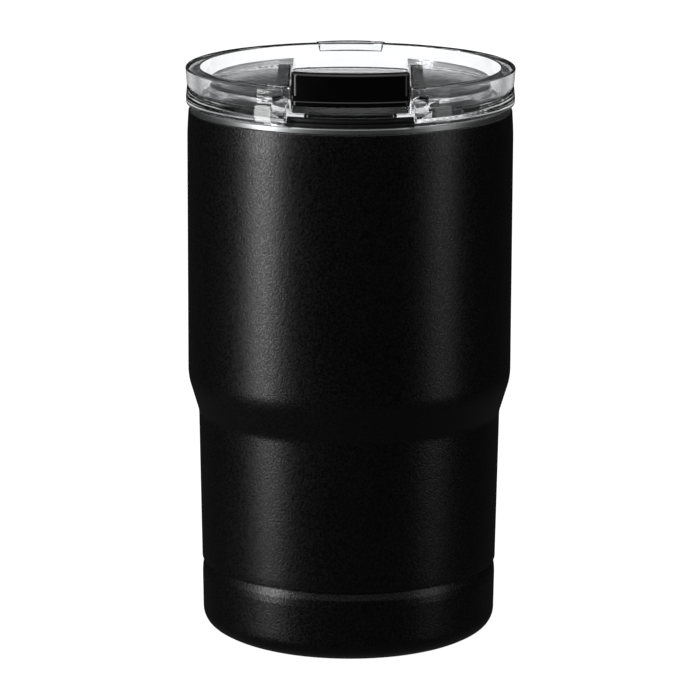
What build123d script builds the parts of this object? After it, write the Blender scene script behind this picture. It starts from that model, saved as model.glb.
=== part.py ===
from build123d import *
import os

# Vacuum-insulated drinking tumbler with a push-in lid and a flip-up drinking tab.
# Millimetres. The origin is on the axis at the base, +Z is up, and the drinking side is -Y.

# Cup, outside
BODY_R = 41.0            # upper body
SHOULDER_Z = 129.5       # where the body starts to close towards the mouth
COAT_TOP_Z = 134.9       # top edge of the coated shell, under the bare lip
COAT_TOP_R = 40.68
TAPER_TOP_Z = 66.5       # taper down to the narrow part that a can fits in
TAPER_BOTTOM_Z = 57.6
WAIST_R = 38.3
SHELL_BOTTOM_R = 37.58
SHELL_BOTTOM_Z = 19.0    # joint between the shell and the base cup
SHELL_WALL = 0.7

# Cup, inside
LIP_TOP_Z = 136.3
LIP_R = 40.2
LINER_R = 37.4           # inside of the wide part
LINER_WAIST_R = 34.7     # inside of the narrow part
LINER_BOTTOM_R = 34.3
LINER_FLOOR_Z = 10.5
LINER_WALL = 0.6

# Base
BASE_R = 37.5
FOOT_OUTER_R = 32.0
FOOT_INNER_R = 26.6
RECESS_Z = 1.8
END_DISC_R = 25.3
END_DISC_THICKNESS = 0.6

# Lid
RING_TOP_Z = 145.7
RING_BOTTOM_Z = 136.4
RING_R = 41.4
RING_INNER_R = 37.7
LID_FLOOR_Z = 139.3      # floor of the channel and of the moat around the raised decks
LID_WALL = 2.0
DECK_Z = 142.9
DECK_R = 35.3
CHANNEL_HALF = 14.0      # half width of the channel at its floor
CHANNEL_HALF_TOP = 14.8
CHANNEL_R = 36.6         # the channel runs back to the ring
CHANNEL_FRONT_Y = -36.0
CHEEK_HALF = 18.3        # outside of the walls that hold the hinge
CHEEK_Z = 143.6
CHEEK_REAR_Y = 15.5      # behind it the decks stand alone beside the channel
PLUG_R = 36.6            # the wall that goes into the cup
PLUG_WALL = 1.7
PLUG_BOTTOM_Z = 127.5
SPOUT_R = 39.5           # front edge of the floor, where one drinks
NOTCH_HALF = 15.6
NOTCH_TOP_Z = 142.2
SEAT_Z = 137.2           # underside of the ring over the gasket's flange
PULL_HALF = 8.9          # pull tab at the back
PULL_END_Y = 45.0
PULL_THICKNESS = 2.1

# Flip tab
HINGE_Y = -10.0
HINGE_Z = 141.7
TRUNNION_R = 1.3
TRUNNION_CLEARANCE = 0.05
TAB_HALF = 14.4
TAB_TOP_Z = 149.4
TAB_R = 41.0
TAB_REAR_R = 36.6        # the tab is a curved wall of even thickness
THUMB_R = 43.4
THUMB_TOP_Z = 143.2
THUMB_BOTTOM_Z = 141.85
ARM_HALF = 13.5
ARM_TOP_Z = 143.8
ARM_BOTTOM_Z = 141.4
BARREL_R = 2.0

# Drinking opening and its stopper
OPENING_OUTER_R = 34.3
OPENING_INNER_R = 29.5
OPENING_HALF = 10.6
STOPPER_GAP = 0.45

os.makedirs("parts", exist_ok=True)


def outline(*corners):
    """A closed face from corners given as (radius, height, rounding)."""
    Polygon(*[(radius, height) for radius, height, _ in corners], align=None)
    for radius, height, rounding in corners:
        if rounding:
            fillet(vertices().sort_by_distance((radius, height))[0], rounding)


def front_patch(outer_radius, inner_radius, half_width, rounding=0.0):
    """The front of a ring about the axis, cut off square at both sides."""
    Circle(outer_radius)
    Circle(inner_radius, mode=Mode.SUBTRACT)
    with Locations((0, -outer_radius / 2)):
        Rectangle(2 * half_width, outer_radius, mode=Mode.INTERSECT)
    if rounding:
        fillet(vertices(), rounding)


def save(piece, name):
    """Names a finished piece and writes its STEP file."""
    piece.part.label = name
    export_step(piece.part, f"parts/{name}.step")


# ---------------------------------------------------------------- cup

# Spun steel shell: straight upper body, a short taper and a narrower lower body.
with BuildPart() as outer_shell:
    with BuildSketch(Plane.XZ):
        outline(
            (COAT_TOP_R, COAT_TOP_Z, 0.5),
            (BODY_R, SHOULDER_Z, 70),
            (BODY_R, TAPER_TOP_Z, 15),
            (WAIST_R, TAPER_BOTTOM_Z, 7),
            (SHELL_BOTTOM_R, SHELL_BOTTOM_Z, 0.3),
            (SHELL_BOTTOM_R - SHELL_WALL, SHELL_BOTTOM_Z, 0),
            (WAIST_R - SHELL_WALL, TAPER_BOTTOM_Z - 0.2, 7),
            (BODY_R - SHELL_WALL, TAPER_TOP_Z - 0.2, 15),
            (BODY_R - SHELL_WALL, SHOULDER_Z, 70),
            (COAT_TOP_R - SHELL_WALL - 0.1, COAT_TOP_Z, 0),
        )
    revolve(axis=Axis.Z)
save(outer_shell, "outer_shell")

# Pressed bottom cup. Its neck goes up inside the shell, and its concave floor has a
# dimple with the hole that the air was drawn out through.
with BuildPart() as base_cup:
    neck_r = SHELL_BOTTOM_R - SHELL_WALL - 0.02
    with BuildSketch(Plane.XZ):
        outline(
            (neck_r, SHELL_BOTTOM_Z + 4.5, 0),
            (neck_r, SHELL_BOTTOM_Z - 0.5, 0),
            (BASE_R - 0.1, SHELL_BOTTOM_Z - 2.2, 2.5),
            (BASE_R, SHELL_BOTTOM_Z - 4.0, 4),
            (BASE_R - 0.2, 3.06, 4.5),
            (FOOT_OUTER_R, 0, 11),
            (FOOT_INNER_R, 0, 0.6),
            (FOOT_INNER_R - 0.8, RECESS_Z, 0.6),
            (4.2, RECESS_Z, 0.4),
            (3.6, RECESS_Z + 1.0, 0.4),
            (0.8, RECESS_Z + 1.0, 0),
            (0.8, RECESS_Z + 1.7, 0),
            (4.2, RECESS_Z + 1.7, 0.4),
            (4.8, RECESS_Z + 0.7, 0.4),
            (FOOT_INNER_R - 1.4, RECESS_Z + 0.7, 0.6),
            (FOOT_INNER_R - 0.4, 0.75, 0.5),
            (FOOT_OUTER_R - 0.1, 0.75, 10.3),
            (BASE_R - 0.9, 3.5, 3.8),
            (BASE_R - 0.8, 14.5, 1),
            (neck_r - SHELL_WALL, 17.5, 1),
            (neck_r - SHELL_WALL, SHELL_BOTTOM_Z + 4.5, 0),
        )
    revolve(axis=Axis.Z)
save(base_cup, "base_cup")

# Bead of solder glass that closes the evacuation hole.
with BuildPart() as vacuum_seal:
    with Locations((0, 0, RECESS_Z + 0.5)):
        Cylinder(3.2, 0.9)
    with Locations((0, 0, RECESS_Z + 1.4)):
        Cylinder(0.75, 1.1)
save(vacuum_seal, "vacuum_seal")

# Disc set into the concave floor, over the sealed dimple.
with BuildPart() as end_disc:
    with BuildSketch(Plane.XY.offset(RECESS_Z - END_DISC_THICKNESS)):
        Circle(END_DISC_R)
    extrude(amount=END_DISC_THICKNESS)
    fillet(edges().group_by(Axis.Z)[0], 0.25)
save(end_disc, "end_disc")

# Bare steel liner, flared at the top into the lip, which is welded to the shell.
with BuildPart() as inner_liner:
    with BuildSketch(Plane.XZ):
        outline(
            (LINER_R, LIP_TOP_Z, 1.0),
            (LIP_R, LIP_TOP_Z, 0.6),
            (LIP_R, COAT_TOP_Z, 0),
            (LIP_R - 0.9, COAT_TOP_Z, 0),
            (LINER_R + LINER_WALL, COAT_TOP_Z - 3.4, 2),
            (LINER_R + LINER_WALL, TAPER_TOP_Z - 0.3, 12),
            (LINER_WAIST_R + LINER_WALL, TAPER_BOTTOM_Z - 0.4, 8),
            (LINER_BOTTOM_R + LINER_WALL, LINER_FLOOR_Z - LINER_WALL, 9.6),
            (0, LINER_FLOOR_Z - LINER_WALL, 0),
            (0, LINER_FLOOR_Z, 0),
            (LINER_BOTTOM_R, LINER_FLOOR_Z, 9),
            (LINER_WAIST_R, TAPER_BOTTOM_Z - 0.2, 8.6),
            (LINER_R, TAPER_TOP_Z - 0.1, 11.4),
        )
    revolve(axis=Axis.Z)
save(inner_liner, "inner_liner")

# Copper foil wrapped on the liner inside the vacuum, against radiated heat.
with BuildPart() as radiation_foil:
    with BuildSketch(Plane.XY.offset(TAPER_TOP_Z + 4)):
        Circle(LINER_R + LINER_WALL + 0.2)
        Circle(LINER_R + LINER_WALL, mode=Mode.SUBTRACT)
    extrude(amount=56)
save(radiation_foil, "radiation_foil")

# Getter capsule, spot-welded under the liner's floor, which keeps the vacuum clean.
with BuildPart() as getter:
    with Locations((12, 0, LINER_FLOOR_Z - LINER_WALL - 1.1)):
        Cylinder(4.5, 2.2)
    fillet(edges().group_by(Axis.Z)[0], 0.5)
save(getter, "getter")

# ---------------------------------------------------------------- lid

# The finger notch under the thumb lip: what is outside the spout's edge.
with BuildPart() as notch:
    with BuildSketch(Plane.XZ.offset(20)) as notch_face:
        with Locations((0, NOTCH_TOP_Z - 10)):
            Rectangle(2 * NOTCH_HALF, 20)
        fillet(notch_face.vertices().group_by(Axis.Y)[-1], 1.2)
    extrude(amount=40)
    with BuildSketch(Plane.XY.offset(100)):
        Circle(SPOUT_R)
    extrude(amount=60, mode=Mode.SUBTRACT)

# The channel between the cheeks, with drafted sides and rounded shoulders.
with BuildPart() as channel:
    with BuildSketch(Plane.XZ.offset(-CHANNEL_R)):
        outline(
            (-CHANNEL_HALF_TOP - 1.3, RING_TOP_Z + 1, 0),
            (-CHANNEL_HALF_TOP - 1.3, CHEEK_Z, 0),
            (-CHANNEL_HALF_TOP, CHEEK_Z, 1.2),
            (-CHANNEL_HALF, LID_FLOOR_Z, 0.5),
            (CHANNEL_HALF, LID_FLOOR_Z, 0.5),
            (CHANNEL_HALF_TOP, CHEEK_Z, 1.2),
            (CHANNEL_HALF_TOP + 1.3, CHEEK_Z, 0),
            (CHANNEL_HALF_TOP + 1.3, RING_TOP_Z + 1, 0),
        )
    extrude(amount=CHANNEL_R - CHANNEL_FRONT_Y)
    with BuildSketch(Plane.XY.offset(LID_FLOOR_Z - 1)):
        Circle(CHANNEL_R)
        with Locations((0, -20)):
            Rectangle(2 * RING_R, 40)
    extrude(amount=10, mode=Mode.INTERSECT)

# One clear moulding: a thick ring, a floor with two raised decks and a channel between
# them, and the plug wall below, with a bead that holds the gasket.
with BuildPart() as lid:
    with BuildSketch(Plane.XZ):
        outline(
            (RING_INNER_R, RING_TOP_Z, 0.35),
            (RING_R, RING_TOP_Z, 0.45),
            (RING_R - 0.38, 140.9, 1.5),
            (RING_R - 0.1, 138.0, 1.0),
            (RING_R - 0.15, RING_BOTTOM_Z, 0.6),
            (39.9, RING_BOTTOM_Z, 0),
            (39.9, SEAT_Z, 0),
            (PLUG_R, SEAT_Z, 0),
            (PLUG_R, PLUG_BOTTOM_Z + 1.6, 0),
            (PLUG_R + 0.35, PLUG_BOTTOM_Z + 1.2, 0),
            (PLUG_R + 0.3, PLUG_BOTTOM_Z, 0.3),
            (PLUG_R - PLUG_WALL, PLUG_BOTTOM_Z, 0.5),
            (PLUG_R - PLUG_WALL, LID_FLOOR_Z - LID_WALL, 0.8),
            (0, LID_FLOOR_Z - LID_WALL, 0),
            (0, LID_FLOOR_Z, 0),
            (RING_INNER_R - 0.2, LID_FLOOR_Z, 1.0),
        )
    revolve(axis=Axis.Z)

    # Raised decks, made as one disc that the channel is cut through
    with BuildSketch(Plane.XY.offset(LID_FLOOR_Z - 0.5)):
        Circle(DECK_R)
    extrude(amount=DECK_Z - LID_FLOOR_Z + 0.5)
    fillet(edges().filter_by_position(Axis.Z, DECK_Z - 0.01, DECK_Z + 0.01), 0.8)
    # Cheeks beside the flip tab, which hold the hinge and join the decks to the ring
    with BuildSketch(Plane.XY.offset(LID_FLOOR_Z - 0.5)) as cheeks:
        Circle(RING_INNER_R + 0.8)
        with Locations((0, CHEEK_REAR_Y - 30)):
            Rectangle(2 * CHEEK_HALF, 60, mode=Mode.INTERSECT)
        fillet(cheeks.vertices().group_by(Axis.Y)[-1], 0.8)
    extrude(amount=CHEEK_Z - LID_FLOOR_Z + 0.5)
    # Hollows under the decks, open to the cup
    with BuildSketch(Plane.XY.offset(LID_FLOOR_Z - LID_WALL - 0.5)):
        Circle(DECK_R - LID_WALL)
        Rectangle(2 * CHEEK_HALF, 2 * DECK_R, mode=Mode.SUBTRACT)
    extrude(amount=DECK_Z - LID_FLOOR_Z + 0.5, mode=Mode.SUBTRACT)
    add(channel.part, mode=Mode.SUBTRACT)
    # Gap through the ring for the tab
    with BuildSketch(Plane.XY.offset(LID_FLOOR_Z)):
        with Locations((0, -40.3)):
            Rectangle(2 * (TAB_HALF + 0.3), 9)
    extrude(amount=10, mode=Mode.SUBTRACT)
    add(notch.part, mode=Mode.SUBTRACT)
    # Low wall at the spout, in front of the drinking opening
    with BuildSketch(Plane.XY.offset(LID_FLOOR_Z - 0.3)):
        front_patch(SPOUT_R - 0.9, SPOUT_R - 2.2, TAB_HALF + 0.35)
    extrude(amount=2.3)
    # Rabbet under the spout's edge for the gasket's front lug
    with BuildSketch(Plane.XY.offset(SEAT_Z - 0.1)):
        front_patch(SPOUT_R + 2, SPOUT_R - 1.6, NOTCH_HALF)
    extrude(amount=1.5, mode=Mode.SUBTRACT)
    # Drinking opening and vent hole
    with BuildSketch(Plane.XY.offset(LID_FLOOR_Z + 1)):
        front_patch(OPENING_OUTER_R, OPENING_INNER_R, OPENING_HALF, 1.6)
    extrude(amount=-5, mode=Mode.SUBTRACT)
    with Locations((0, 18, LID_FLOOR_Z)):
        Hole(1.0, depth=5)
    # Hinge sockets in the cheeks
    with BuildSketch(Plane.YZ.offset(-17.1)):
        with Locations((HINGE_Y, HINGE_Z)):
            Circle(TRUNNION_R + TRUNNION_CLEARANCE)
    extrude(amount=2 * 17.1, mode=Mode.SUBTRACT)
    # Pull tab at the back
    with BuildSketch(Plane.XY.offset(RING_TOP_Z - 0.15)):
        with BuildLine():
            Line((-PULL_HALF, 39.2), (PULL_HALF, 39.2))
            Line((PULL_HALF, 39.2), (PULL_HALF, PULL_END_Y - 2.4))
            ThreePointArc(
                (PULL_HALF, PULL_END_Y - 2.4), (0, PULL_END_Y), (-PULL_HALF, PULL_END_Y - 2.4)
            )
            Line((-PULL_HALF, PULL_END_Y - 2.4), (-PULL_HALF, 39.2))
        make_face()
        fillet(vertices().group_by(Axis.Y)[-1], 0.8)
    extrude(amount=-PULL_THICKNESS, taper=15)
save(lid, "lid")

# Silicone gasket: a flange on the cup's lip, a sleeve round the plug with two fins, and a
# lug that fills the rabbet under the spout.
with BuildPart() as lid_gasket:
    with BuildSketch(Plane.XZ):
        outline(
            (PLUG_R, SEAT_Z, 0),
            (39.6, SEAT_Z, 0),
            (39.6, LIP_TOP_Z + 0.05, 0),
            (PLUG_R + 0.45, LIP_TOP_Z + 0.05, 0.3),
            (PLUG_R + 0.4, 134.4, 0),
            (PLUG_R + 0.65, 133.9, 0),
            (PLUG_R + 0.35, 133.3, 0),
            (PLUG_R + 0.35, 131.4, 0),
            (PLUG_R + 0.65, 130.9, 0),
            (PLUG_R + 0.35, 130.3, 0),
            (PLUG_R + 0.35, PLUG_BOTTOM_Z + 1.7, 0),
            (PLUG_R, PLUG_BOTTOM_Z + 1.7, 0),
        )
    revolve(axis=Axis.Z)
    with BuildSketch(Plane.XY.offset(SEAT_Z - 0.2)):
        front_patch(SPOUT_R - 0.05, SPOUT_R - 1.5, NOTCH_HALF - 0.1)
    extrude(amount=1.5)
save(lid_gasket, "lid_gasket")

# ---------------------------------------------------------------- flip

# Thumb lip that stands out in front of the tab, with all its edges softened.
with BuildPart() as thumb_lip:
    with BuildSketch(Plane.XY.offset(THUMB_BOTTOM_Z)):
        front_patch(THUMB_R, RING_INNER_R + 1.0, TAB_HALF)
        fillet(vertices().group_by(Axis.Y)[0], 1.8)
    extrude(amount=THUMB_TOP_Z - THUMB_BOTTOM_Z)
    fillet(edges().group_by(Axis.Z)[-1] + edges().group_by(Axis.Z)[0], 0.35)

# Black lever: a tall tab with a thumb lip, an arm down the channel, a hinge barrel with
# a trunnion at each end, and a boss under the arm that the stopper is pushed onto.
with BuildPart() as flip_tab:
    # Arm and the ramp behind the tab, in side view
    with BuildSketch(Plane.YZ.offset(-ARM_HALF)):
        outline(
            (HINGE_Y, ARM_TOP_Z, 0),
            (HINGE_Y, ARM_BOTTOM_Z, 0),
            (-38.0, ARM_BOTTOM_Z, 0),
            (-38.0, TAB_TOP_Z - 1.0, 0),
            (1.0 - TAB_REAR_R, TAB_TOP_Z - 1.0, 2.5),
            (6.0 - TAB_REAR_R, ARM_TOP_Z, 2.5),
        )
    extrude(amount=2 * ARM_HALF)
    # Barrel and trunnions
    with BuildSketch(Plane.YZ.offset(-ARM_HALF)):
        with Locations((HINGE_Y, HINGE_Z)):
            Circle(BARREL_R)
    extrude(amount=2 * ARM_HALF)
    with BuildSketch(Plane.YZ.offset(-16.9)):
        with Locations((HINGE_Y, HINGE_Z)):
            Circle(TRUNNION_R)
    extrude(amount=2 * 16.9)
    # Tall tab, a curved wall that follows the ring
    with BuildSketch(Plane.XY.offset(DECK_Z + 1.1)) as tab_face:
        front_patch(TAB_R, TAB_REAR_R, TAB_HALF)
        fillet(tab_face.vertices().group_by(Axis.Y)[0], 2.0)
        fillet(tab_face.vertices().group_by(Axis.Y)[-1], 0.8)
    extrude(amount=TAB_TOP_Z - DECK_Z - 1.1)
    fillet(edges().filter_by_position(Axis.Z, TAB_TOP_Z - 0.01, TAB_TOP_Z + 0.01), 0.5)
    # The tab's foot in the ring's gap, with the thumb lip in front of it
    with BuildSketch(Plane.XY.offset(THUMB_BOTTOM_Z)):
        front_patch(TAB_R, RING_INNER_R + 0.3, TAB_HALF, 0.6)
    extrude(amount=DECK_Z + 1.2 - THUMB_BOTTOM_Z)
    add(thumb_lip.part)
    # Boss for the stopper
    with BuildSketch(Plane.XY.offset(ARM_BOTTOM_Z + 0.5)):
        front_patch(32.9, 30.9, 8.0, 0.8)
    extrude(amount=-3.2)
save(flip_tab, "flip_tab")

# Silicone stopper: a flange that presses on the floor and a plug in the drinking opening.
with BuildPart() as flip_seal:
    with BuildSketch(Plane.XY.offset(LID_FLOOR_Z + 0.2)):
        front_patch(35.9, 28.4, 11.65, 1.8)
    extrude(amount=ARM_BOTTOM_Z - LID_FLOOR_Z - 0.2)
    with BuildSketch(Plane.XY.offset(LID_FLOOR_Z + 0.3)):
        front_patch(
            OPENING_OUTER_R - STOPPER_GAP,
            OPENING_INNER_R + STOPPER_GAP,
            OPENING_HALF - STOPPER_GAP,
            1.3,
        )
    extrude(amount=-2.2, taper=6)
    with BuildSketch(Plane.XY.offset(ARM_BOTTOM_Z)):
        front_patch(32.9, 30.9, 8.0, 0.8)
    extrude(amount=-2.7, mode=Mode.SUBTRACT)
save(flip_seal, "flip_seal")
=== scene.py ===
"""Insulated tumbler with a clear push-in lid and a black flip-up drinking tab.

Makes the visible pieces on the part's fixed frame. Everything is in metres, the axis is Z,
the foot stands at z = 0 and the drinking side faces -Y.
"""

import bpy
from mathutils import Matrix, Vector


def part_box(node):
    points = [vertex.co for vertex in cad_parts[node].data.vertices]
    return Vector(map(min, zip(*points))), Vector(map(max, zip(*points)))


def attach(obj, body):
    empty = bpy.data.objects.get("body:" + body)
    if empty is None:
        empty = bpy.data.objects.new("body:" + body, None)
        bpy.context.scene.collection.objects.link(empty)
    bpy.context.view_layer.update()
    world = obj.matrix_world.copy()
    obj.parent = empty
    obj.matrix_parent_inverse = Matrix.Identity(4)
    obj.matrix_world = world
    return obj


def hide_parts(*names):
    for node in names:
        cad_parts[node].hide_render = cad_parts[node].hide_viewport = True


bl_info = {
    "name": "Insulated Tumbler",
    "version": (1, 0, 0),
    "blender": (4, 5, 0),
    "location": "3D View > Sidebar > Tumbler",
    "description": "Builds an insulated tumbler with a clear lid on its fixed frame",
    "category": "Add Mesh",
}

import math

import bmesh
import bpy
from bpy.props import FloatProperty, FloatVectorProperty, PointerProperty
from mathutils import Matrix, Vector

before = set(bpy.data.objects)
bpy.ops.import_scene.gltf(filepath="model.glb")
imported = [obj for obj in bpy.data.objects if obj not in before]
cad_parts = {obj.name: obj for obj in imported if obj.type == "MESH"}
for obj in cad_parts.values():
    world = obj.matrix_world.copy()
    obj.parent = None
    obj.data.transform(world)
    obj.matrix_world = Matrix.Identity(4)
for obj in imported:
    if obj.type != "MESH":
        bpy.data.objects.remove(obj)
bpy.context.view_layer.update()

MM = 0.001
PATH_RADIUS = 0.01           # circle that a turned piece's outline is swept round
SHARP_ANGLE = math.radians(32)

# Base cup
FOOT_OUTER_R = 32 * MM
FOOT_INNER_R = 26.6 * MM
RECESS_R = 25.8 * MM
RECESS_Z = 1.8 * MM          # concave floor, above what the cup stands on
DIMPLE_R = 3.6 * MM
DIMPLE_Z = 2.8 * MM
HOLE_R = 0.8 * MM            # hole that the air was drawn out through
DRAFT = 0.6 * MM             # what the pressed steps of the floor lean outwards

LINER_FOOT_R = 34.3 * MM     # inside of the liner at its floor

# Gasket
PLUG_R = 36.6 * MM           # the lid's wall that the gasket is stretched on
GASKET_GAP = 0.05 * MM       # air between the black gasket and the clear lid
SLEEVE = 0.3 * MM            # thickness of the sleeve round the plug
FIN = 0.6 * MM               # how far a fin's edge is outside the bore, and half its height
FIN_HEIGHTS = (133.9 * MM, 130.9 * MM)
LUG_HEIGHT = 1.3 * MM        # lug under the spout's edge, above the flange
LUG_HALF = 15.45 * MM
LUG_FRONT_R = 39.45 * MM
LUG_REAR_R = 38.0 * MM
LUG_SPANS = 32

# Stage
SWEEP_R = 3.2
SWEEP_BEND = 1.4
SWEEP_TOP = 2.6
CARD_R = 0.5
CARD_LOW = -0.15
CARD_HIGH = 0.24
STRIP_DISTANCE = 1.0
STRIP_HEIGHT = 1.3
STRIP_CENTRE_Z = 0.42
STRIP_AIM_Z = 0.1
KEY_AZIMUTH = -62.6          # degrees from the drinking side
KEY_WIDTH = 0.24
FILL_AZIMUTH = 66.5
FILL_WIDTH = 0.26
CAMERA_PLACE = (0.14 * MM, -1.02, 299.5 * MM)
CAMERA_DIP = 12.54           # degrees below level
CAMERA_ROLL = 0.235


# ------------------------------------------------------------------ node trees


def socket_of(sockets, key):
    """A node's socket by its identifier, its name or its number."""
    if isinstance(key, int):
        return sockets[key]
    for socket in sockets:
        if socket.identifier == key:
            return socket
    return sockets[key]


def add_node(tree, kind, settings=None, inputs=None):
    """Adds a node, applies its settings first, then fills or links its inputs."""
    node = tree.nodes.new(kind)
    for name, value in (settings or {}).items():
        if name == "stops":
            ramp = node.color_ramp.elements
            while len(ramp) < len(value):
                ramp.new(1.0)
            for element, (place, shade) in zip(ramp, value):
                element.position = place
                element.color = (shade, shade, shade, 1.0) if isinstance(shade, float) else shade
        else:
            setattr(node, name, value)
    for key, value in (inputs or {}).items():
        socket = socket_of(node.inputs, key)
        if isinstance(value, Wire):
            value = value.socket
        if isinstance(value, bpy.types.NodeSocket):
            tree.links.new(value, socket)
        else:
            socket.default_value = value
    return node


class Wire:
    """A number coming out of a node. Arithmetic on it adds the Math nodes."""

    def __init__(self, tree, socket):
        self.tree = tree
        self.socket = socket

    def maths(self, operation, *values):
        """The result of a Math node fed with these numbers and wires."""
        node = add_node(
            self.tree, "ShaderNodeMath", {"operation": operation}, dict(enumerate(values))
        )
        return Wire(self.tree, node.outputs[0])

    def __add__(self, other):
        return self.maths("ADD", self, other)

    def __sub__(self, other):
        return self.maths("SUBTRACT", self, other)

    def __mul__(self, other):
        return self.maths("MULTIPLY", self, other)

    def __truediv__(self, other):
        return self.maths("DIVIDE", self, other)

    def __pow__(self, other):
        return self.maths("POWER", self, other)

    def __rsub__(self, other):
        return self.maths("SUBTRACT", other, self)

    def __rtruediv__(self, other):
        return self.maths("DIVIDE", other, self)

    def __rpow__(self, other):
        return self.maths("POWER", other, self)

    __radd__ = __add__
    __rmul__ = __mul__

    def step(self, low, high):
        """Goes smoothly from 0 at low to 1 at high."""
        node = add_node(
            self.tree,
            "ShaderNodeMapRange",
            {"interpolation_type": "SMOOTHSTEP"},
            {"Value": self, "From Min": low, "From Max": high},
        )
        return Wire(self.tree, node.outputs["Result"])


class Finish:
    """A procedural material being put together on Object coordinates."""

    def __init__(self, name):
        self.material = bpy.data.materials.new(name)
        self.material.use_nodes = True
        self.tree = self.material.node_tree
        self.tree.nodes.clear()
        self.shader = self.node("ShaderNodeBsdfPrincipled")
        self.node("ShaderNodeOutputMaterial", None, {"Surface": self.shader.outputs[0]})
        self.place = self.node("ShaderNodeTexCoord").outputs["Object"]
        parts = self.node("ShaderNodeSeparateXYZ", None, {0: self.place})
        self.x, self.y, self.z = (Wire(self.tree, socket) for socket in parts.outputs)

    def node(self, kind, settings=None, inputs=None):
        """Adds a node to this finish's tree."""
        return add_node(self.tree, kind, settings, inputs)

    def noise(self, size, detail=2.0, roughness=0.5, place=None):
        """Noise from 0 to 1 with features of about this size in metres."""
        node = self.node(
            "ShaderNodeTexNoise",
            {"noise_dimensions": "3D"},
            {
                "Vector": place or self.place,
                "Scale": 1.0 / size,
                "Detail": detail,
                "Roughness": roughness,
            },
        )
        return Wire(self.tree, node.outputs[0])

    def radius(self):
        """Distance from the tumbler's axis."""
        return (self.x * self.x + self.y * self.y) ** 0.5

    def round_the_axis(self, along, round_scale):
        """A place that runs along the profile in X and round the axis in Y and Z."""
        r = self.radius() + 1e-6
        node = self.node(
            "ShaderNodeCombineXYZ",
            None,
            {0: along, 1: self.x / r * round_scale, 2: self.y / r * round_scale},
        )
        return node.outputs[0]

    def blend(self, factor, first, second):
        """A colour between two colours."""
        node = self.node(
            "ShaderNodeMix",
            {"data_type": "RGBA"},
            {
                "Factor_Float": factor,
                "A_Color": (*first, 1.0),
                "B_Color": (*second, 1.0),
            },
        )
        return socket_of(node.outputs, "Result_Color")

    def bump(self, height):
        """Relief whose height is in metres."""
        node = self.node("ShaderNodeBump", None, {"Distance": 1.0, "Height": height})
        self.set(Normal=node.outputs[0])

    def set(self, **values):
        """Fills the shader's sockets; an underscore in a name stands for a space."""
        for name, value in values.items():
            socket = self.shader.inputs[name.replace("_", " ")]
            if isinstance(value, Wire):
                value = value.socket
            if isinstance(value, bpy.types.NodeSocket):
                self.tree.links.new(value, socket)
            else:
                socket.default_value = value


# ------------------------------------------------------------------ finishes


def powder_coat(look):
    """Black powder coat: satin, with a fine grain and a faint orange peel."""
    coat = Finish("black_powder_coat")
    grain = coat.noise(0.52 * MM, 2.0, 0.6)
    fleck = grain.step(0.38, 0.64)
    peel = coat.noise(2.6 * MM, 1.0)
    cloud = coat.noise(16 * MM, 2.0)
    base = tuple(look.coat_colour)
    dark = tuple(0.3 * part for part in base)
    pale = tuple(3.0 * part for part in base)
    coat.set(
        Base_Color=coat.blend(cloud * 0.3 + fleck * 0.7, dark, pale),
        Roughness=look.coat_roughness - 0.06 + 0.03 * cloud + 0.1 * fleck,
    )
    coat.bump(grain * 0.07 * MM + peel * 0.008 * MM)
    return coat.material


def turned_steel():
    """Bare stainless steel with fine marks that run round the axis."""
    steel = Finish("turned_stainless_steel")
    along = (steel.radius() + 1.3 * steel.z) * (1 / (0.12 * MM))
    lines = steel.noise(1.0, 3.0, 0.6, steel.round_the_axis(along, 5.0))
    cloud = steel.noise(9 * MM, 2.0)
    steel.set(
        Metallic=1.0,
        Base_Color=steel.blend(
            lines * 0.7 + cloud * 0.3, (0.36, 0.37, 0.372), (0.50, 0.51, 0.512)
        ),
        Roughness=0.28 + 0.14 * lines + 0.05 * cloud,
    )
    steel.bump(lines * 0.0012 * MM)
    return steel.material


def clear_plastic():
    """Clear copolyester with the faint waves that moulding leaves round the ring."""
    clear = Finish("clear_copolyester")
    along = (clear.radius() + 1.7 * clear.z) * (1 / (1.4 * MM))
    flow = clear.noise(1.0, 2.0, 0.5, clear.round_the_axis(along, 9.0))
    haze = clear.noise(5 * MM, 2.0)
    clear.set(
        Base_Color=clear.blend(haze, (0.91, 0.92, 0.935), (0.95, 0.955, 0.965)),
        Transmission_Weight=1.0,
        IOR=1.56,
        Roughness=0.03 + 0.03 * haze,
    )
    clear.bump(flow * 0.016 * MM)
    return clear.material


def black_plastic():
    """Black moulded plastic with a fine satin texture."""
    plastic = Finish("black_moulded_plastic")
    spark = plastic.noise(0.22 * MM, 2.0, 0.6)
    cloud = plastic.noise(7 * MM, 2.0)
    plastic.set(
        Base_Color=plastic.blend(cloud, (0.0004, 0.0004, 0.0005), (0.0008, 0.0008, 0.0009)),
        Roughness=0.18 + 0.06 * cloud + 0.04 * spark,
    )
    plastic.bump(spark * 0.0025 * MM)
    return plastic.material


def black_silicone():
    """Black silicone rubber: matt, with the mould's parting line in the plane x = 0."""
    rubber = Finish("black_silicone_rubber")
    grain = rubber.noise(0.3 * MM, 2.0)
    dust = rubber.noise(1.2 * MM, 3.0, 0.7)
    line = 1 - (rubber.x * rubber.x).step(0.0, (0.18 * MM) ** 2)
    rubber.set(
        Base_Color=rubber.blend(
            dust.step(0.6, 0.8), (0.003, 0.003, 0.0035), (0.009, 0.009, 0.0095)
        ),
        Roughness=0.48 + 0.12 * grain,
    )
    rubber.bump(grain * 0.004 * MM + line * 0.05 * MM)
    return rubber.material


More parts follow.
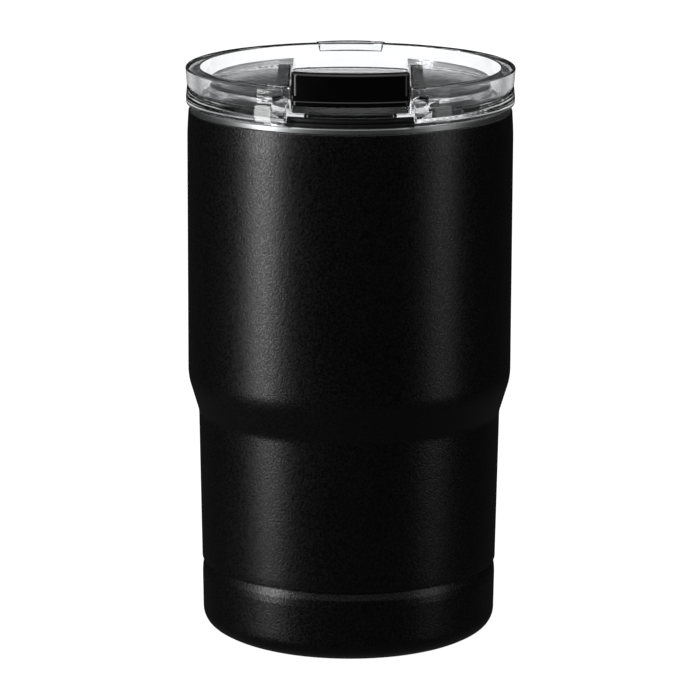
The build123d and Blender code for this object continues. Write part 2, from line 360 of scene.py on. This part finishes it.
def copper_foil():
    """Thin copper foil with the creases of wrapping."""
    foil = Finish("copper_foil")
    crease = foil.noise(5 * MM, 3.0, 0.6)
    stain = foil.noise(14 * MM, 2.0)
    foil.set(
        Metallic=1.0,
        Base_Color=foil.blend(stain, (0.78, 0.36, 0.22), (0.93, 0.52, 0.36)),
        Roughness=0.2 + 0.2 * stain,
    )
    foil.bump(crease * 0.25 * MM)
    return foil.material


def getter_metal():
    """Dull, mottled metal of the pressed getter capsule."""
    metal = Finish("getter_capsule_metal")
    mottle = metal.noise(1.1 * MM, 3.0, 0.6)
    metal.set(
        Metallic=1.0,
        Base_Color=metal.blend(mottle, (0.2, 0.2, 0.21), (0.36, 0.35, 0.34)),
        Roughness=0.4 + 0.2 * mottle,
    )
    metal.bump(mottle * 0.01 * MM)
    return metal.material


def solder_glass():
    """Grey-green solder glass, melted smooth, with faint swirls."""
    glass = Finish("solder_glass")
    swirl = glass.noise(0.9 * MM, 2.0)
    glass.set(
        Base_Color=glass.blend(swirl, (0.06, 0.075, 0.07), (0.13, 0.15, 0.14)),
        Roughness=0.1 + 0.15 * swirl,
    )
    glass.bump(swirl * 0.02 * MM)
    return glass.material


# ------------------------------------------------------------------ meshes


def turning_tree():
    """Geometry Nodes that round an outline's corners and sweep it round the axis."""
    tree = bpy.data.node_groups.new("turned_piece", "GeometryNodeTree")
    tree.is_modifier = True
    sockets = (
        ("Outline", "NodeSocketGeometry", None),
        ("Segments", "NodeSocketInt", 256),
        ("Rounding steps", "NodeSocketInt", 8),
        ("Longest step", "NodeSocketFloat", 0.002),
        ("Path radius", "NodeSocketFloat", PATH_RADIUS),
        ("Finish", "NodeSocketMaterial", None),
    )
    for name, kind, default in sockets:
        socket = tree.interface.new_socket(name, in_out="INPUT", socket_type=kind)
        if default is not None:
            socket.default_value = default
    tree.interface.new_socket("Piece", in_out="OUTPUT", socket_type="NodeSocketGeometry")
    given = tree.nodes.new("NodeGroupInput").outputs

    outline = add_node(tree, "GeometryNodeMeshToCurve", None, {0: given["Outline"]})
    rounding = add_node(
        tree, "GeometryNodeInputNamedAttribute", {"data_type": "FLOAT"}, {"Name": "rounding"}
    )
    rounded = add_node(
        tree,
        "GeometryNodeFilletCurve",
        {"mode": "POLY"},
        {
            "Curve": outline.outputs[0],
            "Count": given["Rounding steps"],
            "Radius": socket_of(rounding.outputs, "Attribute"),
            "Limit Radius": True,
        },
    )
    # Long straight runs are divided, so that shading on them stays flat
    here = add_node(tree, "GeometryNodeInputPosition").outputs[0]
    following = add_node(tree, "GeometryNodeOffsetPointInCurve", None, {"Offset": 1})
    there = add_node(
        tree,
        "GeometryNodeFieldAtIndex",
        {"data_type": "FLOAT_VECTOR", "domain": "POINT"},
        {"Index": following.outputs["Point Index"], "Value": here},
    )
    run = add_node(
        tree,
        "ShaderNodeVectorMath",
        {"operation": "DISTANCE"},
        {0: here, 1: there.outputs[0]},
    )
    cuts = add_node(
        tree,
        "ShaderNodeMath",
        {"operation": "DIVIDE"},
        {0: run.outputs["Value"], 1: given["Longest step"]},
    )
    divided = add_node(
        tree,
        "GeometryNodeSubdivideCurve",
        None,
        {"Curve": rounded.outputs[0], "Cuts": cuts.outputs[0]},
    )
    shift = add_node(
        tree,
        "ShaderNodeCombineXYZ",
        None,
        {
            0: add_node(
                tree,
                "ShaderNodeMath",
                {"operation": "MULTIPLY"},
                {0: given["Path radius"], 1: -1.0},
            ).outputs[0]
        },
    )
    moved = add_node(
        tree,
        "GeometryNodeTransform",
        None,
        {
            "Geometry": divided.outputs[0],
            "Translation": shift.outputs[0],
            "Scale": (1.0, -1.0, 1.0),
        },
    )
    path = add_node(
        tree,
        "GeometryNodeCurvePrimitiveCircle",
        {"mode": "RADIUS"},
        {"Resolution": given["Segments"], "Radius": given["Path radius"]},
    )
    swept = add_node(
        tree,
        "GeometryNodeCurveToMesh",
        None,
        {"Curve": path.outputs[0], "Profile Curve": moved.outputs[0]},
    )
    welded = add_node(
        tree,
        "GeometryNodeMergeByDistance",
        None,
        {"Geometry": swept.outputs[0], "Distance": 2e-6},
    )
    smooth = add_node(
        tree, "GeometryNodeSetShadeSmooth", None, {"Geometry": welded.outputs[0]}
    )
    real = add_node(
        tree, "GeometryNodeRealizeInstances", None, {"Geometry": smooth.outputs[0]}
    )
    finished = add_node(
        tree,
        "GeometryNodeSetMaterial",
        None,
        {"Geometry": real.outputs[0], "Material": given["Finish"]},
    )
    result = tree.nodes.new("NodeGroupOutput")
    tree.links.new(finished.outputs[0], result.inputs[0])
    return tree


def shared(collection, name, make):
    """The data block of this name, made the first time it is asked for."""
    return collection.get(name) or make()


def show(name, mesh):
    """A new object in the scene that holds this mesh."""
    piece = bpy.data.objects.new(name, mesh)
    bpy.context.scene.collection.objects.link(piece)
    return piece


def turned(name, corners, finish, closed=True, **sizes):
    """A piece turned about the axis, from corners given as (radius, height, rounding)."""
    mesh = bpy.data.meshes.new(name + "_outline")
    count = len(corners)
    edges = [(i, (i + 1) % count) for i in range(count if closed else count - 1)]
    mesh.from_pydata([(r, h, 0.0) for r, h, _ in corners], edges, [])
    rounding = mesh.attributes.new("rounding", "FLOAT", "POINT")
    rounding.data.foreach_set("value", [c[2] for c in corners])
    piece = show(name, mesh)
    tree = shared(bpy.data.node_groups, "turned_piece", turning_tree)
    modifier = piece.modifiers.new("turn", "NODES")
    modifier.node_group = tree
    values = {"Finish": finish, **sizes}
    for item in tree.interface.items_tree:
        if item.in_out == "INPUT" and item.name in values:
            modifier[item.identifier] = values[item.name]
    evaluated = piece.evaluated_get(bpy.context.evaluated_depsgraph_get())
    result = bpy.data.meshes.new_from_object(evaluated)
    piece.modifiers.clear()
    piece.data = result
    result.name = name
    bpy.data.meshes.remove(mesh)
    outwards(result)
    result.set_sharp_from_angle(angle=SHARP_ANGLE)
    return piece


def outwards(mesh):
    """Makes every face point out of its solid."""
    work = bmesh.new()
    work.from_mesh(mesh)
    bmesh.ops.recalc_face_normals(work, faces=work.faces)
    work.to_mesh(mesh)
    work.free()


def fit(piece, body, slot, *nodes):
    """Joins a finished piece to its body in place of CAD nodes."""
    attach(piece, body)
    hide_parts(*nodes)


def refinish(node, material):
    """Gives a CAD node that stays its material."""
    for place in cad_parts[node].material_slots:
        place.material = material


# ------------------------------------------------------------------ sizes and colours


def length(name, description, default):
    """A size in metres that a user can change."""
    return FloatProperty(
        name=name, description=description, default=default, unit="LENGTH", subtype="DISTANCE"
    )


SHELL_LOW, SHELL_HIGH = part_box("outer_shell")
BASE_LOW, BASE_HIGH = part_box("base_cup")
LINER_LOW, LINER_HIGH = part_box("inner_liner")


class TumblerSizes(bpy.types.PropertyGroup):
    """Sizes of the turned steel parts"""

    body_radius: length("Body radius", "Outside radius of the upper body", SHELL_HIGH.x)
    shoulder_height: length("Shoulder height", "Where the body closes towards the lip", 0.1295)
    coat_top_radius: length("Coat top radius", "Radius at the coat's upper edge", 0.04068)
    taper_top: length("Taper top", "Height where the taper starts", 0.0665)
    taper_bottom: length("Taper bottom", "Height where the taper ends", 0.0576)
    waist_radius: length("Waist radius", "Outside radius under the taper", 0.0383)
    shell_bottom_radius: length("Shell foot radius", "Radius at the shell's lower edge", 0.03758)
    shell_wall: length("Shell wall", "Thickness of the shell", 0.0007)
    lip_radius: length("Lip radius", "Outside radius of the bare lip", LINER_HIGH.x)
    liner_radius: length("Liner radius", "Inside radius of the wide part", 0.0374)
    liner_waist: length("Liner waist", "Inside radius of the narrow part", 0.0347)
    liner_wall: length("Liner wall", "Thickness of the liner", 0.0006)


class TumblerLooks(bpy.types.PropertyGroup):
    """Colours and gloss"""

    coat_colour: FloatVectorProperty(
        name="Coat colour",
        description="Colour of the powder coat",
        subtype="COLOR",
        default=(0.0009, 0.0009, 0.001),
        min=0.0,
        max=1.0,
    )
    coat_roughness: FloatProperty(
        name="Coat roughness",
        description="How matt the powder coat is",
        subtype="FACTOR",
        default=0.30,
        min=0.0,
        max=1.0,
    )


class TumblerStage(bpy.types.PropertyGroup):
    """Light and camera"""

    key_power: FloatProperty(
        name="Key light",
        description="Power of the left strip",
        default=9.2,
        subtype="POWER",
        unit="POWER",
    )
    fill_power: FloatProperty(
        name="Fill light",
        description="Power of the right strip",
        default=1.45,
        subtype="POWER",
        unit="POWER",
    )
    lens: FloatProperty(
        name="Lens",
        description="Focal length",
        default=211.12,
        subtype="DISTANCE_CAMERA",
        unit="CAMERA",
    )


# ------------------------------------------------------------------ operators


class TUMBLER_OT_shell(bpy.types.Operator):
    """Make the powder-coated shell and the base cup"""

    bl_idname = "tumbler.shell"
    bl_label = "Coated Shell and Base"

    def execute(self, context):
        size = context.scene.tumbler_sizes
        coat = powder_coat(context.scene.tumbler_looks)
        wall = size.shell_wall
        body, waist, foot = size.body_radius, size.waist_radius, size.shell_bottom_radius
        low, high = SHELL_LOW.z, SHELL_HIGH.z
        shell = turned(
            "powder_coated_shell",
            (
                (size.coat_top_radius, high, 0.5 * MM),
                (body, size.shoulder_height, 70 * MM),
                (body, size.taper_top, 15 * MM),
                (waist, size.taper_bottom, 7 * MM),
                (foot, low, 0.3 * MM),
                (foot - wall, low, 0.0),
                (waist - wall, size.taper_bottom - 0.2 * MM, 7 * MM),
                (body - wall, size.taper_top - 0.2 * MM, 15 * MM),
                (body - wall, size.shoulder_height, 70 * MM),
                (size.coat_top_radius - wall - 0.1 * MM, high, 0.0),
            ),
            coat,
        )
        fit(shell, "cup", "powder_coat", "outer_shell")

        neck, base, top = foot - wall - 0.02 * MM, BASE_HIGH.x, BASE_HIGH.z
        cup = turned(
            "pressed_base_cup",
            (
                (neck, top, 0.0),
                (neck, low - 0.5 * MM, 0.2 * MM),
                (base - 0.1 * MM, low - 2.2 * MM, 2.5 * MM),
                (base, low - 4 * MM, 4 * MM),
                (base - 0.2 * MM, 3.06 * MM, 4.5 * MM),
                (FOOT_OUTER_R, 0.0, 11 * MM),
                (FOOT_INNER_R, 0.0, 0.6 * MM),
                (RECESS_R, RECESS_Z, 0.6 * MM),
                (DIMPLE_R + DRAFT, RECESS_Z, 0.4 * MM),
                (DIMPLE_R, DIMPLE_Z, 0.4 * MM),
                (HOLE_R, DIMPLE_Z, 0.0),
                (HOLE_R, DIMPLE_Z + wall, 0.0),
                (DIMPLE_R + DRAFT, DIMPLE_Z + wall, 0.4 * MM),
                (DIMPLE_R + 2 * DRAFT, RECESS_Z + wall, 0.4 * MM),
                (RECESS_R - DRAFT, RECESS_Z + wall, 0.6 * MM),
                (FOOT_INNER_R - 0.4 * MM, 0.75 * MM, 0.5 * MM),
                (FOOT_OUTER_R - 0.1 * MM, 0.75 * MM, 10.3 * MM),
                (base - 0.9 * MM, 3.5 * MM, 3.8 * MM),
                (base - 0.8 * MM, 14.5 * MM, 1 * MM),
                (neck - wall, 17.5 * MM, 1 * MM),
                (neck - wall, top, 0.0),
            ),
            coat,
        )
        fit(cup, "cup", "powder_coat", "base_cup")
        return {"FINISHED"}


class TUMBLER_OT_steel(bpy.types.Operator):
    """Make the bare steel liner with its lip, and the disc under the base"""

    bl_idname = "tumbler.steel"
    bl_label = "Bare Steel Liner and Disc"

    def execute(self, context):
        size = context.scene.tumbler_sizes
        steel = turned_steel()
        wall, lip = size.liner_wall, size.lip_radius
        wide, waist = size.liner_radius, size.liner_waist
        floor = LINER_LOW.z + wall
        coat_top = SHELL_HIGH.z
        liner = turned(
            "steel_liner_and_lip",
            (
                (wide, LINER_HIGH.z, 1.0 * MM),
                (lip, LINER_HIGH.z, 0.6 * MM),
                (lip, coat_top, 0.0),
                (lip - 0.9 * MM, coat_top, 0.0),
                (wide + wall, coat_top - 3.4 * MM, 2 * MM),
                (wide + wall, size.taper_top - 0.3 * MM, 12 * MM),
                (waist + wall, size.taper_bottom - 0.4 * MM, 8 * MM),
                (LINER_FOOT_R + wall, floor - wall, 9.6 * MM),
                (0.0, floor - wall, 0.0),
                (0.0, floor, 0.0),
                (LINER_FOOT_R, floor, 9 * MM),
                (waist, size.taper_bottom - 0.2 * MM, 8.6 * MM),
                (wide, size.taper_top - 0.1 * MM, 11.4 * MM),
            ),
            steel,
        )
        fit(liner, "cup", "bare_steel", "inner_liner")
        low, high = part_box("end_disc")
        disc = turned(
            "steel_end_disc",
            (
                (0.0, low.z, 0.0),
                (high.x, low.z, 0.25 * MM),
                (high.x, high.z, 0.0),
                (0.0, high.z, 0.0),
            ),
            steel,
            closed=False,
        )
        fit(disc, "cup", "bare_steel", "end_disc")
        return {"FINISHED"}


class TUMBLER_OT_vacuum(bpy.types.Operator):
    """Finish the pieces inside the vacuum: foil, getter and solder glass"""

    bl_idname = "tumbler.vacuum"
    bl_label = "Pieces in the Vacuum"

    def execute(self, context):
        refinish("radiation_foil", copper_foil())
        refinish("getter", getter_metal())
        refinish("vacuum_seal", solder_glass())
        return {"FINISHED"}


class TUMBLER_OT_lid(bpy.types.Operator):
    """Finish the clear lid"""

    bl_idname = "tumbler.lid"
    bl_label = "Clear Lid"

    def execute(self, context):
        refinish("lid", clear_plastic())
        return {"FINISHED"}


def add_lug(mesh, low, high):
    """Adds the gasket's curved lug, which fills the rabbet under the spout's edge."""
    work = bmesh.new()
    rings = []
    for i in range(LUG_SPANS + 1):
        side = (2 * i / LUG_SPANS - 1) * LUG_HALF
        front = -math.sqrt(LUG_FRONT_R**2 - side**2)
        rear = -math.sqrt(LUG_REAR_R**2 - side**2)
        section = ((front, low), (front, high), (rear, high), (rear, low))
        rings.append([work.verts.new((side, y, z)) for y, z in section])
    work.faces.new(rings[0])
    work.faces.new(reversed(rings[-1]))
    for this, following in zip(rings, rings[1:]):
        for k in range(4):
            work.faces.new([this[k], this[k - 1], following[k - 1], following[k]])
    bmesh.ops.recalc_face_normals(work, faces=work.faces)
    square = [edge for edge in work.edges if edge.calc_face_angle() > 1.0]
    bmesh.ops.bevel(work, geom=square, offset=0.18 * MM, segments=3, affect="EDGES")
    for face in work.faces:
        face.smooth = True
    work.from_mesh(mesh)
    work.to_mesh(mesh)
    work.free()


class TUMBLER_OT_seals(bpy.types.Operator):
    """Make the silicone gasket and finish the stopper"""

    bl_idname = "tumbler.seals"
    bl_label = "Silicone Seals"

    def execute(self, context):
        rubber = black_silicone()
        low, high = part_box("lid_gasket")
        bore = PLUG_R + GASKET_GAP
        flange_low = LINER_HIGH.z + 0.05 * MM
        flange_top = high.z - LUG_HEIGHT - GASKET_GAP
        sleeve = bore + SLEEVE
        corners = [
            (bore, flange_top, 0.1 * MM),
            (high.x, flange_top, 0.2 * MM),
            (high.x, flange_low, 0.2 * MM),
            (sleeve + 0.1 * MM, flange_low, 0.3 * MM),
        ]
        for fin_z in FIN_HEIGHTS:
            corners += [
                (sleeve, fin_z + FIN, 0.1 * MM),
                (bore + FIN, fin_z, 0.15 * MM),
                (sleeve, fin_z - FIN, 0.1 * MM),
            ]
        corners += [(sleeve, low.z, 0.1 * MM), (bore, low.z, 0.0)]
        gasket = turned("silicone_gasket", corners, rubber)
        add_lug(gasket.data, flange_top - 0.1 * MM, high.z)
        fit(gasket, "lid", "black_silicone", "lid_gasket")
        refinish("flip_seal", rubber)
        return {"FINISHED"}


class TUMBLER_OT_flip_tab(bpy.types.Operator):
    """Finish the flip tab"""

    bl_idname = "tumbler.flip_tab"
    bl_label = "Flip Tab"

    def execute(self, context):
        refinish("flip_tab", black_plastic())
        return {"FINISHED"}


def strip_light(name, power, azimuth, width):
    """A tall soft strip at an angle from the drinking side, turned to the axis."""
    data = bpy.data.lights.new(name, "AREA")
    data.shape = "RECTANGLE"
    data.size = width
    data.size_y = STRIP_HEIGHT
    data.energy = power
    lamp = bpy.data.objects.new(name, data)
    bpy.context.scene.collection.objects.link(lamp)
    angle = math.radians(azimuth)
    across, towards = math.sin(angle), -math.cos(angle)
    place = Vector((across * STRIP_DISTANCE, towards * STRIP_DISTANCE, STRIP_CENTRE_Z))
    aim = Vector((0.0, 0.0, STRIP_AIM_Z)) - place
    lamp.rotation_euler = aim.to_track_quat("-Z", "Y").to_euler()
    lamp.location = place
    lamp.visible_camera = False


def studio_sweep():
    """A pale floor that bends up into a backdrop all round."""
    paper = Finish("white_studio_paper")
    fibre = paper.noise(0.05, 2.0)
    paper.set(
        Base_Color=paper.blend(fibre, (0.10, 0.10, 0.10), (0.12, 0.12, 0.12)),
        Roughness=0.9,
        Emission_Color=(1.0, 1.0, 1.0, 1.0),
        Emission_Strength=1.0,
    )
    floor = -0.05 * MM
    sweep = turned(
        "studio_sweep",
        ((0.0, floor, 0.0), (SWEEP_R, floor, SWEEP_BEND), (SWEEP_R, SWEEP_TOP, 0.0)),
        paper.material,
        closed=False,
        Segments=128,
        **{"Longest step": 0.2},
    )
    sweep.visible_glossy = False
    sweep.visible_diffuse = False
    sweep.visible_shadow = False
    sweep.visible_transmission = False


def glowing_card():
    """A card round the object that only shows through the clear lid.

    It is bright behind and in front, dimmer at the sides and fades at the top, so that
    the clear plastic has dark edges.
    """
    glow = Finish("glowing_card")
    facing = (glow.y / glow.radius()) ** 2
    fading = glow.z.step(0.13, 0.21) * 0.75
    glow.set(
        Base_Color=(0.0, 0.0, 0.0, 1.0),
        Roughness=1.0,
        Emission_Color=glow.blend(
            facing.step(0.55, 0.93) * (1 - fading), (0.38, 0.38, 0.38), (1.0, 1.0, 1.0)
        ),
        Emission_Strength=1.15,
    )
    card = turned(
        "light_card_seen_through_the_lid",
        ((CARD_R, CARD_LOW, 0.0), (CARD_R, CARD_HIGH, 0.0)),
        glow.material,
        closed=False,
        Segments=128,
        **{"Longest step": 0.05},
    )
    card.visible_camera = False
    card.visible_diffuse = False
    card.visible_glossy = False
    card.visible_shadow = False


def studio_room():
    """A dark room with a soft light overhead."""
    world = bpy.data.worlds.new("studio_room")
    world.use_nodes = True
    tree = world.node_tree
    tree.nodes.clear()
    direction = add_node(tree, "ShaderNodeTexCoord").outputs["Generated"]
    height = add_node(tree, "ShaderNodeSeparateXYZ", None, {0: direction}).outputs[2]
    from_nadir = Wire(tree, height) * 0.5 + 0.5
    stops = (
        (0.0, 0.06),
        (0.22, 0.05),
        (0.40, 0.012),
        (0.62, 0.012),
        (0.80, 0.5),
        (0.90, 0.7),
        (1.0, 1.8),
    )
    shades = add_node(tree, "ShaderNodeValToRGB", {"stops": stops}, {0: from_nadir})
    light = add_node(tree, "ShaderNodeBackground", None, {0: shades.outputs[0], 1: 1.0})
    add_node(tree, "ShaderNodeOutputWorld", None, {0: light.outputs[0]})
    return world


def product_camera(lens):
    """The camera, a little above the lid and a metre in front of the drinking side."""
    data = bpy.data.cameras.new("product_camera")
    data.lens = lens
    data.sensor_width = 36.0
    data.clip_start = 0.05
    camera = bpy.data.objects.new("product_camera", data)
    bpy.context.scene.collection.objects.link(camera)
    turn = Matrix.Rotation(math.radians(90 - CAMERA_DIP), 4, "X")
    roll = Matrix.Rotation(math.radians(CAMERA_ROLL), 4, "Z")
    camera.matrix_world = Matrix.Translation(CAMERA_PLACE) @ turn @ roll
    return camera


class TUMBLER_OT_stage(bpy.types.Operator):
    """Make the pale floor, the soft lights and the camera"""

    bl_idname = "tumbler.stage"
    bl_label = "Stage"

    def execute(self, context):
        scene = context.scene
        stage = scene.tumbler_stage
        studio_sweep()
        glowing_card()
        strip_light("left_key_strip", stage.key_power, KEY_AZIMUTH, KEY_WIDTH)
        strip_light("right_fill_strip", stage.fill_power, FILL_AZIMUTH, FILL_WIDTH)
        scene.world = studio_room()
        scene.camera = product_camera(stage.lens)
        scene.view_settings.view_transform = "Standard"
        return {"FINISHED"}


OPERATORS = (
    TUMBLER_OT_shell,
    TUMBLER_OT_steel,
    TUMBLER_OT_vacuum,
    TUMBLER_OT_lid,
    TUMBLER_OT_seals,
    TUMBLER_OT_flip_tab,
    TUMBLER_OT_stage,
)


class TUMBLER_PT_panel(bpy.types.Panel):
    """Lists the tumbler's sizes, looks and operators"""

    bl_idname = "TUMBLER_PT_panel"
    bl_label = "Insulated Tumbler"
    bl_space_type = "VIEW_3D"
    bl_region_type = "UI"
    bl_category = "Tumbler"

    def draw(self, context):
        column = self.layout.column()
        for label in GROUPS:
            group = getattr(context.scene, label)
            for name in group.__annotations__:
                column.prop(group, name)
            column.separator()
        for operator in OPERATORS:
            column.operator(operator.bl_idname)


CLASSES = (TumblerSizes, TumblerLooks, TumblerStage, *OPERATORS, TUMBLER_PT_panel)
GROUPS = {
    "tumbler_sizes": TumblerSizes,
    "tumbler_looks": TumblerLooks,
    "tumbler_stage": TumblerStage,
}


def register():
    for cls in CLASSES:
        bpy.utils.register_class(cls)
    for name, group in GROUPS.items():
        setattr(bpy.types.Scene, name, PointerProperty(type=group))


def unregister():
    for name in GROUPS:
        delattr(bpy.types.Scene, name)
    for cls in reversed(CLASSES):
        bpy.utils.unregister_class(cls)


def main():
    register()
    for operator in OPERATORS:
        family, name = operator.bl_idname.split(".")
        getattr(getattr(bpy.ops, family), name)()


if __name__ == "__main__":
    main()
